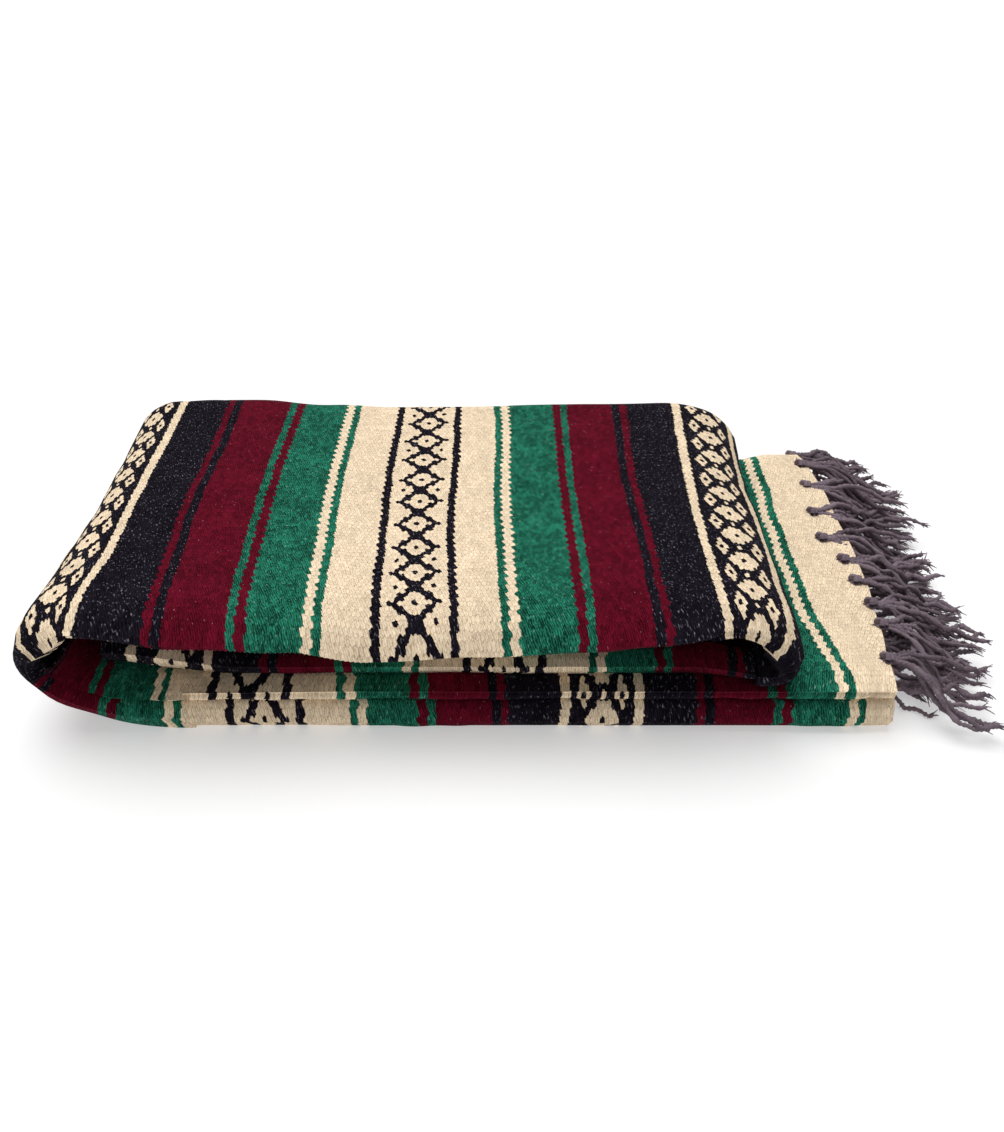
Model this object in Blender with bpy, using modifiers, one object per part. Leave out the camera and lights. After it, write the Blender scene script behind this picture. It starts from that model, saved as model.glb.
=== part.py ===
"""A folded Mexican blanket (serape) of striped, weft-faced cloth, at its real size, in metres.

The blanket is one loom width of cloth with a knotted fringe at both ends. It is folded lengthwise
into a strip of four layers, selvedges to the middle and then in half, so that the strip has two
rounded folds at its front, an outer and an inner one, and a single fold at its back. The strip is
then folded across into three: a bottom stretch on the floor, round the left fold into the top
stretch, and round the right fold into a middle stretch that goes back in under the top.

Every piece of cloth is a thin wall laid on one path. A place on the strip is given by s, the length
along its outer face from the fringed end of the bottom stretch, by y, across the strip, and by n,
the distance in from the outer face. X is along the strip, -Y is the front, Z = 0 is the floor.
"""
import math
from bisect import bisect_right
from collections import namedtuple

import bpy

NAME = "folded_serape"

# Cloth
WALL = 0.0025              # thickness of one layer of cloth
GAP = 0.0004               # clear space between neighbouring pieces
SEAM = 0.0010              # clear space where one stretch of cloth goes on into the next

# Path of the strip's outer face, in X and Z
FRINGED_EDGE = 0.282       # fringed edge of the bottom stretch
LEFT_START = -0.244        # where the bottom stretch lifts off the floor
LEFT_SQUEEZE = 0.82        # how much thinner the strip's lower layers are at the left fold's nose
LEFT_NOSE = -0.358         # furthest point of the left fold
LEFT_NOSE_Z = 0.062
TOP_LEFT = -0.304          # flat part of the top stretch, from here
TOP_RIGHT = 0.126          # to here
TOP_Z = 0.105
RIGHT_NOSE = 0.192         # furthest point of the right fold
RIGHT_NOSE_Z = 0.058
RIGHT_UNDER = 0.166        # where the right fold has come back level
MIDDLE_Z = 0.0390          # underside of the middle stretch
MIDDLE_LIFT = -0.205       # where the middle stretch starts to rise into the left fold
MIDDLE_END = -0.300        # its last visible point
MIDDLE_RISE = 0.013
RIGHT_PULL = -0.0078       # how far the right fold is pulled in at the front
RIGHT_SKEW = 0.0215        # and how much further out it lies at the back
LEFT_DRAW = 0.30           # how much narrower the left fold is at the back
LEFT_DRAW_FROM = -0.138    # where that starts, in Y
LEFT_DRAW_OVER = 0.145     # and over what distance it grows

# The bottom stretch's upper face
UPPER_N = 0.0365           # height of the upper face
SPLIT_N = 0.0262           # height from which the inner front fold starts
SET_BACK = 0.0015          # how far it sits behind the outer one
SET_BACK_FADE = 0.12       # over what length that grows from the left fold
UPPER_PUFF = 0.010         # extra height at the back of the fringed end
PUFF_FROM = 0.200          # where that starts, in X

# Fringe
FRINGE_TIP = 0.358
FRINGE_FRONT = -0.150
FRINGE_BACK = 0.160
FRINGE_LAY = 0.011         # height of the lower fringe

# Across the strip, at named places along it: y of the front and back folds' noses, then the front
# fold's two quarter ellipses (run and depth to the nose, then run and depth beyond it), then the
# back fold's run, depth to the nose and depth beyond it.
Across = namedtuple("Across", "front back run nose tuck under back_run back_nose back_under")
ACROSS = {
    "bottom": Across(-0.1545, 0.1680, 0.007, 0.0112, 0.009, 0.0125, 0.022, 0.0185, 0.0180),
    "left":   Across(-0.1580, 0.1580, 0.026, 0.0105, 0.012, 0.0095, 0.022, 0.0160, 0.0160),
    "top":    Across(-0.1665, 0.1485, 0.050, 0.0200, 0.012, 0.0070, 0.022, 0.0150, 0.0195),
    "right":  Across(-0.1540, 0.1520, 0.026, 0.0075, 0.010, 0.0055, 0.022, 0.0075, 0.0060),
    "middle": Across(-0.1405, 0.1550, 0.009, 0.0080, 0.009, 0.0072, 0.022, 0.0150, 0.0160),
}
TUCKED_RUN = 0.014         # straight run of a front fold's underside

# The top stretch's edges, along X: how far the front one comes forward and how much lower it hangs,
# and how far back the back one lies
Edge = namedtuple("Edge", "x forward hang back")
TOP_EDGE = (
    Edge(-0.345, -0.0030, 0.0000, 0.0020),
    Edge(-0.300, -0.0020, -0.0140, 0.0070),
    Edge(-0.240, 0.0000, -0.0080, 0.0130),
    Edge(-0.165, 0.0005, -0.0040, 0.0070),
    Edge(-0.110, 0.0015, 0.0050, 0.0000),
    Edge(-0.040, 0.0000, 0.0015, 0.0000),
    Edge(0.040, -0.0010, -0.0030, 0.0045),
    Edge(0.100, -0.0030, -0.0075, 0.0070),
    Edge(0.150, -0.0080, -0.0125, 0.0090),
    Edge(0.200, -0.0080, -0.0090, 0.0090),
)

# Broad swells of the top face: centre, radii and height
Swell = namedtuple("Swell", "x y across deep height")
TOP_SWELLS = (
    Swell(-0.200, 0.060, 0.090, 0.120, 0.0022),
    Swell(-0.060, -0.030, 0.070, 0.140, -0.0018),
    Swell(0.060, 0.090, 0.080, 0.100, 0.0020),
    Swell(0.120, -0.060, 0.060, 0.090, 0.0012),
)

# Hidden layers
CORE_SETBACK = 0.008       # how far behind the front fold's tucked end they start
CORE_FRONT_MIDDLE = -0.110
CORE_BACK = 0.118
CORE_RIGHT_DEEP = 0.034    # their depth there
CORE_START = 0.010         # where they start, in from the fringed edge
CORE_STOP = 0.024          # and end, past the start of the right fold
LAYER_DEPTH = 0.004        # depth of the grooves between hidden layers
CORE_CLEAR = 0.0080        # clear space between them and the walls round them

BEND_LEAD = 0.020          # how far before the left fold the strip starts to change
STEP_FLAT = 0.040          # spacing of rows along flat stretches
STEP_BEND = 0.012          # and round the folds


def lerp(a, b, t):
    return a + (b - a) * t


def ease(t):
    t = min(1.0, max(0.0, t))
    return t * t * (3 - 2 * t)


def middle_rise(x):
    """How far the middle stretch has risen at x."""
    return MIDDLE_RISE * ease((x - MIDDLE_LIFT) / (MIDDLE_END - MIDDLE_LIFT))


def trace_path():
    """The strip's outer face as close points (x, z), from the bottom's fringed edge on."""
    points = []

    def line(x0, x1, z):
        count = max(2, int(abs(x1 - x0) / 0.002))
        for i in range(count):
            points.append((lerp(x0, x1, i / count), z))

    def quarter(cx, cz, ax, az, start, end, count=48):
        for i in range(count):
            angle = math.radians(lerp(start, end, i / count))
            points.append((cx + ax * math.cos(angle), cz + az * math.sin(angle)))

    line(FRINGED_EDGE, LEFT_START, 0.0)
    quarter(LEFT_START, LEFT_NOSE_Z, LEFT_START - LEFT_NOSE, LEFT_NOSE_Z, 270, 180)
    quarter(TOP_LEFT, LEFT_NOSE_Z, TOP_LEFT - LEFT_NOSE, TOP_Z - LEFT_NOSE_Z, 180, 90)
    line(TOP_LEFT, TOP_RIGHT, TOP_Z)
    quarter(TOP_RIGHT, RIGHT_NOSE_Z, RIGHT_NOSE - TOP_RIGHT, TOP_Z - RIGHT_NOSE_Z, 90, 0)
    quarter(RIGHT_UNDER, RIGHT_NOSE_Z, RIGHT_NOSE - RIGHT_UNDER, RIGHT_NOSE_Z - MIDDLE_Z, 0, -90)
    line(RIGHT_UNDER, MIDDLE_LIFT, MIDDLE_Z)
    for i in range(41):
        x = lerp(MIDDLE_LIFT, MIDDLE_END, i / 40)
        points.append((x, MIDDLE_Z + middle_rise(x)))
    return points


PATH = trace_path()
LENGTHS = [0.0]
for before, after in zip(PATH, PATH[1:]):
    LENGTHS.append(LENGTHS[-1] + math.dist(before, after))


def index_of(x, z):
    return min(range(len(PATH)), key=lambda i: math.dist(PATH[i], (x, z)))


I_LEFT = index_of(LEFT_START, 0.0)
I_LEFT_NOSE = index_of(LEFT_NOSE, LEFT_NOSE_Z)
I_TOP = index_of(TOP_LEFT, TOP_Z)
I_RIGHT = index_of(TOP_RIGHT, TOP_Z)
I_RIGHT_NOSE = index_of(RIGHT_NOSE, RIGHT_NOSE_Z)
I_MIDDLE = index_of(RIGHT_UNDER, MIDDLE_Z)
S_LEFT, S_LEFT_NOSE, S_TOP, S_RIGHT, S_RIGHT_NOSE, S_MIDDLE = (
    LENGTHS[i] for i in (I_LEFT, I_LEFT_NOSE, I_TOP, I_RIGHT, I_RIGHT_NOSE, I_MIDDLE))
S_END = LENGTHS[-1]


def on_path(s):
    """The outer face at s: x, z and the direction in, away from the face."""
    i = min(len(PATH) - 2, max(0, bisect_right(LENGTHS, s) - 1))
    (x0, z0), (x1, z1) = PATH[i], PATH[i + 1]
    span = LENGTHS[i + 1] - LENGTHS[i]
    t = (s - LENGTHS[i]) / span
    back, ahead = PATH[max(0, i - 1)], PATH[min(len(PATH) - 1, i + 2)]
    dx, dz = ahead[0] - back[0], ahead[1] - back[1]
    size = math.hypot(dx, dz)
    return lerp(x0, x1, t), lerp(z0, z1, t), dz / size, -dx / size


def top_share(s):
    """1 on the top stretch, falling to 0 halfway round each fold."""
    left = ease((s - S_LEFT_NOSE) / (S_TOP - S_LEFT_NOSE))
    return left * ease((S_RIGHT_NOSE - s) / (S_RIGHT_NOSE - S_RIGHT))


def swell(x, y):
    """Height of the top face's broad swells."""
    total = 0.0
    for w in TOP_SWELLS:
        reach = ((x - w.x) / w.across) ** 2 + ((y - w.y) / w.deep) ** 2
        total += w.height * math.exp(-reach)
    return total


def place(s, y, n):
    """A point of the strip in the part's frame."""
    x, z, nx, nz = on_path(s)
    front, back = ACROSS["right"].front, ACROSS["right"].back
    skew = RIGHT_PULL + RIGHT_SKEW * (max(0.0, y - front) / (back - front)) ** 1.5
    skew *= ease((s - S_RIGHT + 0.06) / 0.12) * ease((S_MIDDLE + 0.12 - s) / 0.12)
    ahead = 1 - min(1.0, max(0.0, (y - LEFT_DRAW_FROM) / LEFT_DRAW_OVER))
    drawn = LEFT_DRAW * (1 - ahead ** 1.5)
    rise = swell(x, y) * top_share(s) * ease(1 - n / 0.03)
    x += nx * n
    return (x + max(0.0, TOP_LEFT - x) * drawn + skew, y, z + nz * n + rise)


def edge_at(x):
    """The top stretch's edges at x, eased between the rows of TOP_EDGE."""
    x = min(TOP_EDGE[-1].x, max(TOP_EDGE[0].x, x))
    for a, b in zip(TOP_EDGE, TOP_EDGE[1:]):
        if x <= b.x:
            return Edge(*(lerp(u, v, ease((x - a.x) / (b.x - a.x))) for u, v in zip(a, b)))


def across_at(s):
    """The sizes across the strip at s, eased between the named places."""
    marks = ((0.0, "bottom"), (S_LEFT - BEND_LEAD, "bottom"), (S_LEFT_NOSE, "left"), (S_TOP + 0.01, "top"),
             (S_RIGHT, "top"), (S_RIGHT_NOSE, "right"), (S_MIDDLE + 0.05, "middle"), (S_END, "middle"))
    for (s0, name0), (s1, name1) in zip(marks, marks[1:]):
        if s <= s1:
            t = ease((s - s0) / (s1 - s0))
            mixed = Across(*(lerp(a, b, t) for a, b in zip(ACROSS[name0], ACROSS[name1])))
            break
    else:
        mixed = ACROSS["middle"]
    x = on_path(s)[0]
    edge = edge_at(x)
    share = top_share(s)
    squash = middle_rise(x) / 2 if s > S_MIDDLE else 0.0
    return mixed._replace(
        front=mixed.front - edge.forward * share, back=mixed.back + edge.back * share,
        nose=mixed.nose + edge.hang * share,
        back_nose=mixed.back_nose - squash, back_under=mixed.back_under - squash)


def squeeze_at(s):
    """How thick the lower layers are at s, against the bottom stretch."""
    start = S_LEFT - BEND_LEAD
    return lerp(1.0, LEFT_SQUEEZE, ease((s - start) / (S_LEFT_NOSE - start)))


def quarter_points(count, run, depth):
    """Along a quarter ellipse from its flat end (0, 0) to its nose (run, depth), ends included."""
    angles = [math.radians(90 * i / count) for i in range(count + 1)]
    return [(run * math.sin(a), depth * (1 - math.cos(a))) for a in angles]


def front_fold(a, level=0.0):
    """(y, n) of the outer front fold, from its tucked end round the nose to the flat face."""
    deep = level + a.nose + a.under
    points = [(a.front + a.tuck + TUCKED_RUN, deep)]
    points += [(a.front + a.tuck - u, deep - v) for u, v in quarter_points(4, a.tuck, a.under)]
    outer = [(a.front + a.run - u, level + v) for u, v in quarter_points(5, a.run, a.nose)]
    return points + outer[-2::-1]


def back_fold(a):
    """(y, n) of the back fold, from the flat face round its nose."""
    flat = a.back - a.back_run
    outer = [(flat + u, v) for u, v in quarter_points(4, a.back_run, a.back_nose)]
    deep = a.back_nose + a.back_under
    inner = [(flat + u, deep - v) for u, v in quarter_points(4, a.back_run, a.back_under)]
    return outer + inner[-2::-1]


def flat_face(points, last, count):
    """Evenly spaced (y, n) between a fold's last point and the next fold's first one."""
    y0, n0 = points[-1]
    y1, n1 = last
    return [(lerp(y0, y1, i / count), lerp(n0, n1, i / count)) for i in range(1, count)]


def outer_section(s):
    """Front fold, outer face and back fold."""
    a = across_at(s)
    front, back = front_fold(a), back_fold(a)
    return front + flat_face(front, back[0], 5) + back


def lower_section(s):
    """The lowest layer: the outer front fold and the face on the floor, up to the back seam."""
    front = front_fold(across_at(s))
    return front + flat_face(front, (CORE_BACK, 0.0), 4) + [(CORE_BACK, 0.0)]


def upper_section(s, with_back=True):
    """The bottom stretch's inner front fold, its upper face and the back fold down to the floor."""
    a = across_at(s)
    x = on_path(s)[0]
    puff = UPPER_PUFF * ease((x - PUFF_FROM) / 0.05)
    squeeze = squeeze_at(s)
    top, split = UPPER_N * squeeze, SPLIT_N * squeeze
    half = (top - split - GAP) / 2
    set_back = SET_BACK * ease((S_LEFT - s) / SET_BACK_FADE)
    inner = a._replace(front=a.front + set_back, run=0.007, nose=half, tuck=0.007, under=half)
    front = [(y, split + GAP + top - n) for y, n in front_fold(inner, split + GAP)]
    if not with_back:
        last = (CORE_BACK, top)
        return front + flat_face(front, last, 4) + [last]
    flat = a.back - a.back_run
    half = (top + puff) / 2
    rows = quarter_points(4, a.back_run, half)
    over = [(flat + u, top + puff - v) for u, v in rows]
    under = [(flat + u, v) for u, v in rows]
    floor = [(CORE_BACK + GAP, 0.0)]
    face = [(y, n + puff * ease((y - front[-1][0]) / (flat - front[-1][0])) - puff * i / 5)
            for i, (y, n) in enumerate(flat_face(front, over[0], 5), 1)]
    return front + face + over + under[-2::-1] + floor


def core_section(s):
    """The hidden layers as one closed outline, grooved between layers at its front and back."""
    x, _, _, _ = on_path(s)
    top = WALL + CORE_CLEAR
    share = ease((s - S_LEFT_NOSE - 0.01) / (S_TOP - S_LEFT_NOSE + 0.03))
    bottom_deep = UPPER_N * squeeze_at(s) - WALL - CORE_CLEAR
    top_deep = TOP_Z - MIDDLE_Z - middle_rise(x) - WALL - CORE_CLEAR
    deep = lerp(lerp(bottom_deep, top_deep, share), CORE_RIGHT_DEEP, ease((s - S_RIGHT) / 0.03))
    a = across_at(s)
    front = a.front + a.tuck + TUCKED_RUN + CORE_SETBACK
    lower_front = lerp(front, CORE_FRONT_MIDDLE, share)
    back = CORE_BACK - 0.001
    levels = [lerp(top, deep, t) for t in (0.0, 0.12, 0.25, 0.37, 0.5, 0.62, 0.72, 0.86, 1.0)]
    outline = []
    for i, n in enumerate(levels):
        y = lerp(front, lower_front, ease((i - 3.5) / 2))
        groove = LAYER_DEPTH if i % 2 == 0 else 0.0
        outline.append((y + groove, n))
    for i, n in reversed(list(enumerate(levels))):
        groove = LAYER_DEPTH if i % 2 == 0 else 0.0
        outline.append((back - groove, n))
    return outline


def rows_between(s0, s1):
    """Places along the path from s0 to s1: close together round the folds, wider apart on the flat."""
    bends = ((S_LEFT - 0.01, S_TOP + 0.01), (S_RIGHT - 0.01, S_MIDDLE + 0.01))
    rows = [s0]
    while rows[-1] < s1 - 1e-9:
        s = rows[-1]
        bend = any(a <= s < b for a, b in bends)
        step = STEP_BEND if bend else STEP_FLAT
        for a, _ in bends:
            if s < a - 1e-9 < s + step:
                step = a - s
        rows.append(s + step)
    rows[-1] = s1
    if len(rows) > 2 and s1 - rows[-2] < STEP_BEND * 0.4:
        del rows[-2]
    return rows


def new_object(name, verts, faces, colour, roughness):
    mesh = bpy.data.meshes.new(name)
    mesh.from_pydata(verts, [], faces)
    mesh.update()
    obj = bpy.data.objects.new(name, mesh)
    material = bpy.data.materials.new(name)
    material.use_nodes = True
    shader = material.node_tree.nodes["Principled BSDF"]
    shader.inputs["Base Color"].default_value = (*colour, 1.0)
    shader.inputs["Roughness"].default_value = roughness
    shader.inputs["Metallic"].default_value = 0.0
    mesh.materials.append(material)
    bpy.data.collections[NAME].objects.link(obj)
    mesh.shade_smooth()
    mesh.set_sharp_from_angle(angle=math.radians(50))
    return obj


def cloth(name, s0, s1, section, colour, inward=False):
    """A wall of cloth over the path from s0 to s1; inward faces look away from the outer face."""
    rows = [[place(s, y, n) for y, n in section(s)] for s in rows_between(s0, s1)]
    width = len(rows[0])
    verts = [p for row in rows for p in row]
    faces = []
    for i in range(len(rows) - 1):
        for j in range(width - 1):
            a = i * width + j
            quad = (a, a + width, a + width + 1, a + 1)
            faces.append(quad[::-1] if inward else quad)
    obj = new_object(name, verts, faces, colour, 0.95)
    shell = obj.modifiers.new("wall", "SOLIDIFY")
    shell.thickness = WALL
    shell.offset = -1.0
    return obj


def hidden_layers(name, colour):
    """The hidden layers: one solid that follows the strip from the fringed end to the right fold."""
    rows = []
    for s in rows_between(CORE_START, S_RIGHT + CORE_STOP):
        rows.append([place(s, y, n) for y, n in core_section(s)])
    width = len(rows[0])
    verts = [p for row in rows for p in row]
    faces = [tuple(range(width - 1, -1, -1))]
    for i in range(len(rows) - 1):
        for j in range(width):
            a, b = i * width + j, i * width + (j + 1) % width
            faces.append((a, b, b + width, a + width))
    faces.append(tuple(range(len(verts) - width, len(verts))))
    return new_object(name, verts, faces, colour, 0.95)


def fringe(name, x0, low0, high0, low1, high1, colour):
    """The space a row of tassels fills: a slab that thins and drops towards the tips."""
    verts, count = [], 9
    for i in range(7):
        t = i / 6
        x = lerp(x0, FRINGE_TIP, t)
        low, high = lerp(low0, low1, ease(t)), lerp(high0, high1, ease(t))
        mid = (low + high) / 2
        for j in range(count):
            u = j / (count - 1)
            y = lerp(FRINGE_FRONT, FRINGE_BACK, u)
            fade = min(1.0, min(u, 1 - u) * 10 + 0.35)
            verts.append((x, y, lerp(low, mid, 0.5 * (1 - fade)) if low > 0 else low))
            verts.append((x, y, lerp(high, mid, 1 - fade)))
    faces = []

    def at(i, j, side):
        return (i * count + j) * 2 + side

    for i in range(6):
        for j in range(count - 1):
            faces.append((at(i, j, 0), at(i, j + 1, 0), at(i + 1, j + 1, 0), at(i + 1, j, 0)))
            faces.append((at(i, j, 1), at(i + 1, j, 1), at(i + 1, j + 1, 1), at(i, j + 1, 1)))
        faces.append((at(i, 0, 0), at(i + 1, 0, 0), at(i + 1, 0, 1), at(i, 0, 1)))
        last = count - 1
        faces.append((at(i, last, 0), at(i, last, 1), at(i + 1, last, 1), at(i + 1, last, 0)))
    for j in range(count - 1):
        faces.append((at(0, j, 0), at(0, j, 1), at(0, j + 1, 1), at(0, j + 1, 0)))
        faces.append((at(6, j, 0), at(6, j + 1, 0), at(6, j + 1, 1), at(6, j, 1)))
    return new_object(name, verts, faces, colour, 1.0)


def main():
    for obj in list(bpy.data.objects):
        bpy.data.objects.remove(obj, do_unlink=True)
    collection = bpy.data.collections.new(NAME)
    bpy.context.scene.collection.children.link(collection)

    black, maroon, green = (0.010, 0.010, 0.014), (0.115, 0.004, 0.016), (0.010, 0.150, 0.070)
    cream, grey = (0.72, 0.56, 0.37), (0.095, 0.080, 0.095)
    gap = SEAM / 2
    inner_end = lerp(S_LEFT_NOSE, S_TOP, 0.15)

    cloth("bottom_lower_fold", 0.0, S_LEFT - gap, lower_section, green)
    cloth("bottom_upper_fold", 0.0, S_LEFT - gap, upper_section, maroon, inward=True)
    cloth("left_fold", S_LEFT + gap, S_TOP - gap, outer_section, black)
    cloth("left_inner_fold", S_LEFT + gap, inner_end, lambda s: upper_section(s, with_back=False),
          maroon, inward=True)
    cloth("top_panel", S_TOP + gap, S_RIGHT - gap, outer_section, cream)
    cloth("right_fold", S_RIGHT + gap, S_MIDDLE - gap, outer_section, black)
    cloth("middle_fold", S_MIDDLE + gap, S_END, outer_section, green)
    hidden_layers("inner_layers", black)
    fringe("fringe_lower", FRINGED_EDGE + GAP, 0.0, FRINGE_LAY, 0.0, FRINGE_LAY * 0.8, grey)
    fringe("fringe_upper", FRINGED_EDGE + GAP, FRINGE_LAY + GAP, UPPER_N, FRINGE_LAY * 0.8 + 2 * GAP, 0.022,
           grey)


main()
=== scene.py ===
"""The looks of a folded, striped Mexican blanket (serape) on a pale floor, in metres.

The cloth lies on the same path and sections as the CAD part. A place on it is given by p, the length
along the warp in the stripes' own measure, and v, the length across, from the nose of a front fold.
The weave is built in: every float of weft is a bump BEAD long and RIB wide, in rows of ribs that run
along the warp, and each rib's floats lie half a float off its neighbours'. Stripes and motifs are
worked out float by float, so their edges step as the weave does.
"""
import math

import bpy
import numpy as np
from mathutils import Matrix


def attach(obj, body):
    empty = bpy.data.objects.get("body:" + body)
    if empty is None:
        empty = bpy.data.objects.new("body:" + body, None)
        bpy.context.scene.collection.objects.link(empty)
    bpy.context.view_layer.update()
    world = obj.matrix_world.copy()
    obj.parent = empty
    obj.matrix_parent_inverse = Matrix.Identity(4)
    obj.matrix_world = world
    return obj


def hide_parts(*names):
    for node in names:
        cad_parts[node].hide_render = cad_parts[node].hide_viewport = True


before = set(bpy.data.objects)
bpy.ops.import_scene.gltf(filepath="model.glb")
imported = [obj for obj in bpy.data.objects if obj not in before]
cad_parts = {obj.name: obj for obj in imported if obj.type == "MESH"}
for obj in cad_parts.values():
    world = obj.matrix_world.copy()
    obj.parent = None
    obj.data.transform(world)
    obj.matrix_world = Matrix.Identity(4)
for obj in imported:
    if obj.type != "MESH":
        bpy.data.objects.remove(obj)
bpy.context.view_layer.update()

# Cloth
WALL = 0.0023              # thickness of one layer
HALF_REPEAT = 0.243        # from the middle of a diamond band to the middle of a flower band
BEADS = 74                 # floats in that length
BEAD = HALF_REPEAT / BEADS
RIB = 0.00380              # width of a rib
RELIEF = 0.00042           # height of a float
FOLD_STRETCH = 0.70        # how much wider ribs are pulled at a front fold
FOLD_AT, FOLD_REACH, FOLD_FADE = 0.004, 0.022, 0.008

# Path of the strip's outer face, as in the CAD part
FRINGED_EDGE, LEFT_START, LEFT_SQUEEZE = 0.282, -0.244, 0.82
LEFT_NOSE, LEFT_NOSE_Z, TOP_LEFT, TOP_RIGHT, TOP_Z = -0.358, 0.062, -0.304, 0.126, 0.105
RIGHT_NOSE, RIGHT_NOSE_Z, RIGHT_UNDER = 0.192, 0.058, 0.166
MIDDLE_Z, MIDDLE_LIFT, MIDDLE_END, MIDDLE_RISE = 0.0390, -0.205, -0.300, 0.013
RIGHT_PULL, RIGHT_SKEW = -0.0078, 0.0215
LEFT_DRAW, LEFT_DRAW_FROM, LEFT_DRAW_OVER = 0.30, -0.138, 0.145
UPPER_N, SPLIT_N, UPPER_PUFF, PUFF_FROM, GAP = 0.0365, 0.0262, 0.010, 0.200, 0.0004
SET_BACK, SET_BACK_FADE = 0.0015, 0.12
CORE_BACK, BEND_LEAD, TUCKED_RUN = 0.118, 0.020, 0.014

# Across the strip: front and back noses (y), front fold (run, depth to the nose, run and depth under
# it), back fold (run, depth to the nose, depth under it)
ACROSS = {
    "bottom": (-0.1545, 0.1680, 0.007, 0.0112, 0.009, 0.0125, 0.022, 0.0185, 0.0180),
    "left":   (-0.1580, 0.1580, 0.026, 0.0105, 0.012, 0.0095, 0.022, 0.0160, 0.0160),
    "top":    (-0.1665, 0.1485, 0.050, 0.0200, 0.012, 0.0070, 0.022, 0.0150, 0.0195),
    "right":  (-0.1540, 0.1520, 0.026, 0.0075, 0.010, 0.0055, 0.022, 0.0075, 0.0060),
    "middle": (-0.1405, 0.1550, 0.009, 0.0080, 0.009, 0.0072, 0.022, 0.0150, 0.0160),
}
FRONT, BACK, RUN, NOSE, TUCK, UNDER, BACK_RUN, BACK_NOSE, BACK_UNDER = range(9)

# The top's edges along X: how far the front one comes forward and how much lower it hangs, and how far
# back the back one lies
TOP_EDGE = np.array([
    (-0.345, -0.0030, 0.0000, 0.0020), (-0.300, -0.0020, -0.0140, 0.0070), (-0.240, 0.0000, -0.0080, 0.0130),
    (-0.165, 0.0005, -0.0040, 0.0070), (-0.110, 0.0015, 0.0050, 0.0000), (-0.040, 0.0000, 0.0015, 0.0000),
    (0.040, -0.0010, -0.0030, 0.0045), (0.100, -0.0030, -0.0075, 0.0070), (0.150, -0.0080, -0.0125, 0.0090),
    (0.200, -0.0080, -0.0090, 0.0090)])

# Broad swells of the top face: centre x and y, radii and height
TOP_SWELLS = ((-0.200, 0.060, 0.090, 0.120, 0.0022), (-0.060, -0.030, 0.070, 0.140, -0.0018),
              (0.060, 0.090, 0.080, 0.100, 0.0020), (0.120, -0.060, 0.060, 0.090, 0.0012))

# Where the stripes fall along the path: (half repeats from the bottom's diamond band, path length)
LEFT_KNOTS = [(0, 0.4699), (0.30, 0.5435), (0.455, 0.5795), (0.75, 0.6560)]
TOP_KNOTS = [(1, 0.7235), (1.1214, 0.7530), (1.3272, 0.8036), (1.5453, 0.8583), (1.7510, 0.9085), (2, 0.9702),
             (2.1132, 0.9977), (2.2490, 1.0271), (2.4547, 1.0787), (2.6728, 1.1293), (2.8786, 1.1785),
             (3, 1.2080), (3.1214, 1.2375)]
MIDDLE_KNOTS = [(3.2477, 1.3000), (4, 1.4828), (5, 1.7197), (6, 1.9627)]
LAYOUT = np.array([(-1.9473, 0.0), (-1.751, 0.0400), (-1.532, 0.0955), (-1.3136, 0.1520), (-1, 0.2302)]
                  + LEFT_KNOTS + TOP_KNOTS + MIDDLE_KNOTS)
UPPER_LAYOUT = np.array([(-1.9473, 0.0), (-1.751, 0.0477), (-1, 0.2302), (0, 0.4815), (0.30, 0.5520),
                         (1, 0.7330)])


def ease(t):
    t = np.clip(t, 0.0, 1.0)
    return t * t * (3 - 2 * t)


def eased_row(x, knots, rows):
    """Each column of rows at x, eased between knots."""
    i = int(np.clip(np.searchsorted(knots, x) - 1, 0, len(knots) - 2))
    t = ease((x - knots[i]) / (knots[i + 1] - knots[i]))
    return rows[i] + (rows[i + 1] - rows[i]) * t


def waves(a, b, length, seed):
    """Smooth unevenness between about -1 and 1 over the plane (a, b), of that wave length."""
    rng = np.random.default_rng(seed)
    total = 0.0
    for _ in range(6):
        angle, phase = rng.uniform(0, 2 * math.pi, 2)
        rate = 2 * math.pi / (length * rng.uniform(0.7, 1.5))
        total = total + np.sin((a * math.cos(angle) + b * math.sin(angle)) * rate + phase)
    return total / 3.2


# ---------------------------------------------------------------- path and sections

def middle_rise(x):
    return MIDDLE_RISE * ease((x - MIDDLE_LIFT) / (MIDDLE_END - MIDDLE_LIFT))


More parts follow.
